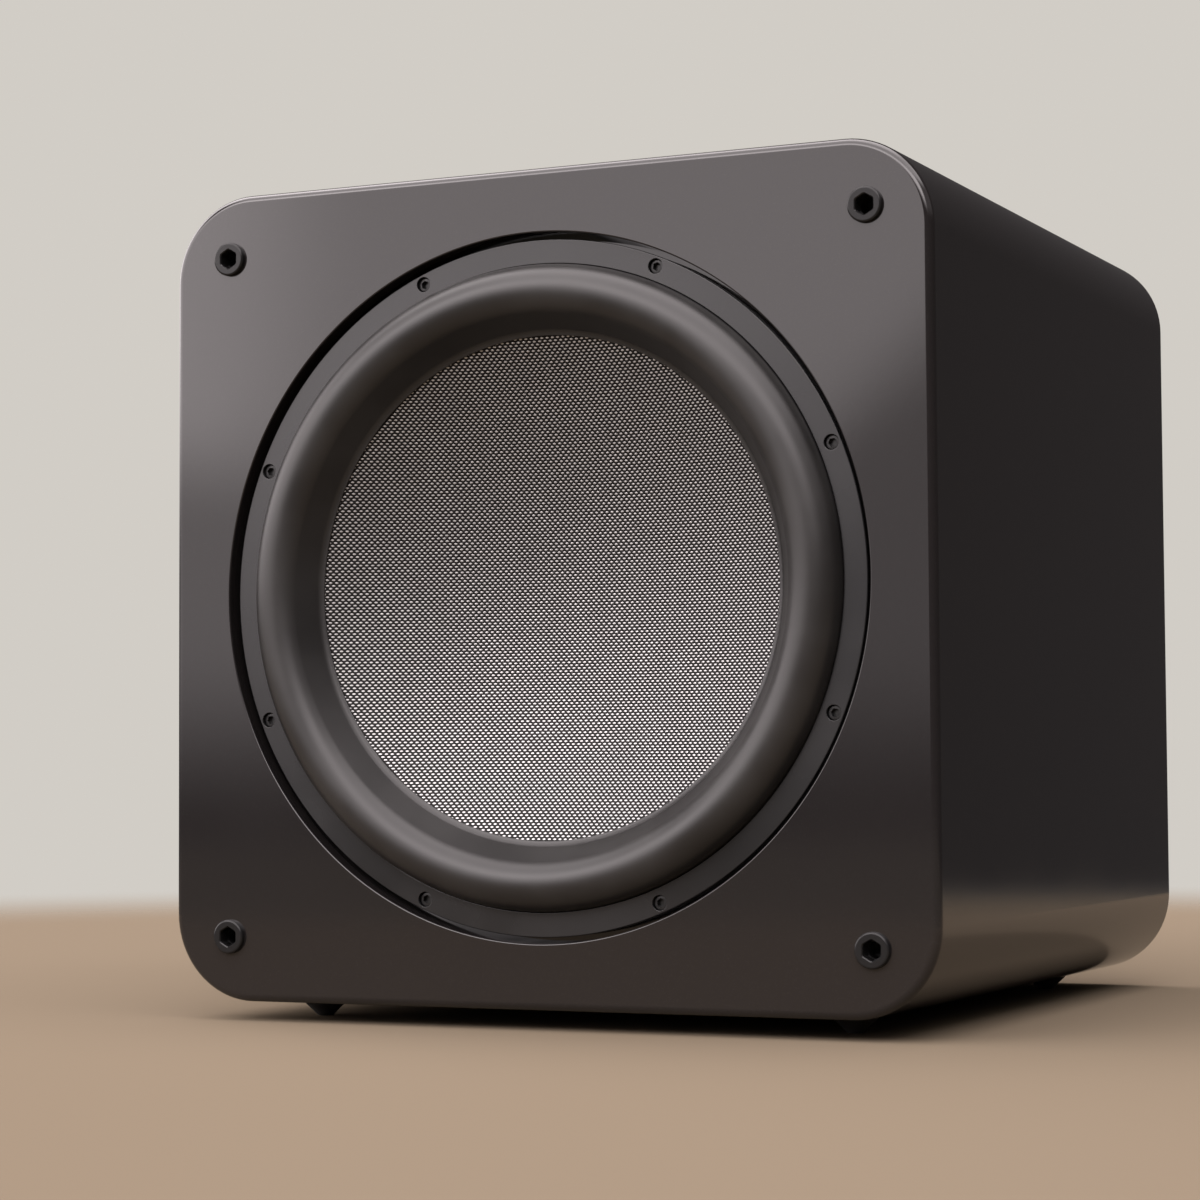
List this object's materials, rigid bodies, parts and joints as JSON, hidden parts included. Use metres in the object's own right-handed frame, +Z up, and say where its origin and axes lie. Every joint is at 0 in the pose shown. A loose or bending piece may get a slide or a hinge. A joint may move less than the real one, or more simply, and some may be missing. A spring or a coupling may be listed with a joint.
{
  "type": "subwoofer",
  "caption": "Powered subwoofer: sealed gloss black cabinet with rounded edges, large front driver with a woven concave cone, small cone feet and a rear amplifier.",
  "frame": {"origin": "on the floor, under the centre of the cabinet", "axes": "+Z up, the front with the driver faces -Y, +X to the right of someone facing the front"},
  "size_m": [0.46, 0.4755, 0.471],
  "materials": {
    "cabinet_lacquer": "black piano-gloss lacquer over fibreboard",
    "brace_board": "raw fibreboard",
    "foam": "open-cell foam",
    "black_plastic": "moulded black plastic, fine texture",
    "foot_rubber": "firm black rubber",
    "zinc_steel": "zinc-plated steel",
    "brass": "gold-tone plated brass",
    "cast_frame": "cast, black powder coat",
    "satin_black_ring": "satin black coat",
    "black_oxide_steel": "black oxide",
    "surround_rubber": "satin butyl rubber",
    "cone_fibre": "pressed fibre, black",
    "woven_dish": "plain weave of silver and black glass fibre under clear resin",
    "former_aluminium": "bare aluminium",
    "copper_winding": "enamelled copper wire",
    "spider_cloth": "resin-treated woven cloth",
    "ferrite": "sintered ferrite",
    "boot_rubber": "smooth black rubber",
    "anodised_plate": "black anodised, fine bead blast",
    "circuit_board": "green solder mask",
    "component_black": "black sleeve",
    "knob_black": "soft-touch black",
    "fuse_glass": "clear glass with plated caps",
    "led_lens": "clear blue lens"
  },
  "bodies": {
    "cabinet": {"cabinet_shell": "cabinet_lacquer", "front_baffle": "cabinet_lacquer", "rear_panel": "cabinet_lacquer", "magnet_brace": "brace_board", "rear_brace": "brace_board", "damping_pads": "foam", "grille_sockets": "black_plastic", "feet": "foot_rubber", "foot_studs": "zinc_steel", "foot_inserts": "brass", "basket": "cast_frame", "driver_gasket": "foam", "trim_ring": "satin_black_ring", "driver_screws": "black_oxide_steel", "driver_inserts": "brass", "surround": "surround_rubber", "spider": "spider_cloth", "tinsel_leads": "copper_winding", "terminal_block": "black_plastic", "top_plate": "zinc_steel", "magnets": "ferrite", "pole_yoke": "zinc_steel", "shorting_ring": "former_aluminium", "magnet_boot": "boot_rubber", "speaker_cable": "boot_rubber", "amp_plate": "anodised_plate", "amp_gasket": "foam", "amp_screws": "black_oxide_steel", "amp_tub": "zinc_steel", "heat_sink": "anodised_plate", "main_board": "circuit_board", "board_standoffs": "brass", "transformer": "copper_winding", "transformer_bolt": "zinc_steel", "capacitors": "component_black", "output_transistors": "component_black", "input_board": "circuit_board", "pot_bodies": "zinc_steel", "xlr_jacks": "black_plastic", "rca_jacks": "brass", "mains_inlet": "black_plastic", "inlet_pins": "brass", "rocker_bezel": "black_plastic", "switch_housing": "zinc_steel", "status_led": "led_lens"},
    "cone": {"cone_body": "cone_fibre", "cone_dish": "woven_dish", "coil_former": "former_aluminium", "voice_coil": "copper_winding"},
    "volume_control": {"volume_knob": "knob_black", "volume_shaft": "zinc_steel"},
    "lowpass_control": {"lowpass_knob": "knob_black", "lowpass_shaft": "zinc_steel"},
    "phase_control": {"phase_knob": "knob_black", "phase_shaft": "zinc_steel"},
    "mode_lever": {"mode_slider": "black_plastic"},
    "rocker": {"power_rocker": "black_plastic"},
    "fuse_tray": {"fuse_drawer": "black_plastic", "fuse": "fuse_glass"}
  },
  "joints": [
    {"name": "cone_travel", "type": "slide", "parent": "cabinet", "child": "cone", "axis": [0, -1, 0], "range_m": [-0.018, 0.018], "stiffness_N_per_m": 2500, "deforming": ["surround", "spider", "tinsel_leads"]},
    {"name": "volume_turn", "type": "hinge", "parent": "cabinet", "child": "volume_control", "pos_m": [0.09, 0.228, 0.366], "axis": [0, 1, 0], "range_deg": [-150, 150]},
    {"name": "lowpass_turn", "type": "hinge", "parent": "cabinet", "child": "lowpass_control", "pos_m": [0.045, 0.228, 0.366], "axis": [0, 1, 0], "range_deg": [-150, 150]},
    {"name": "phase_turn", "type": "hinge", "parent": "cabinet", "child": "phase_control", "pos_m": [0, 0.228, 0.366], "axis": [0, 1, 0], "range_deg": [-150, 150]},
    {"name": "mode_slide", "type": "slide", "parent": "cabinet", "child": "mode_lever", "axis": [-1, 0, 0], "range_m": [0, 0.005]},
    {"name": "rocker_tip", "type": "hinge", "parent": "cabinet", "child": "rocker", "pos_m": [0.045, 0.2268, 0.114], "axis": [-1, 0, 0], "range_deg": [-14, 0]},
    {"name": "fuse_tray_pull", "type": "slide", "parent": "cabinet", "child": "fuse_tray", "axis": [0, 1, 0], "range_m": [0, 0.016]}
  ]
}
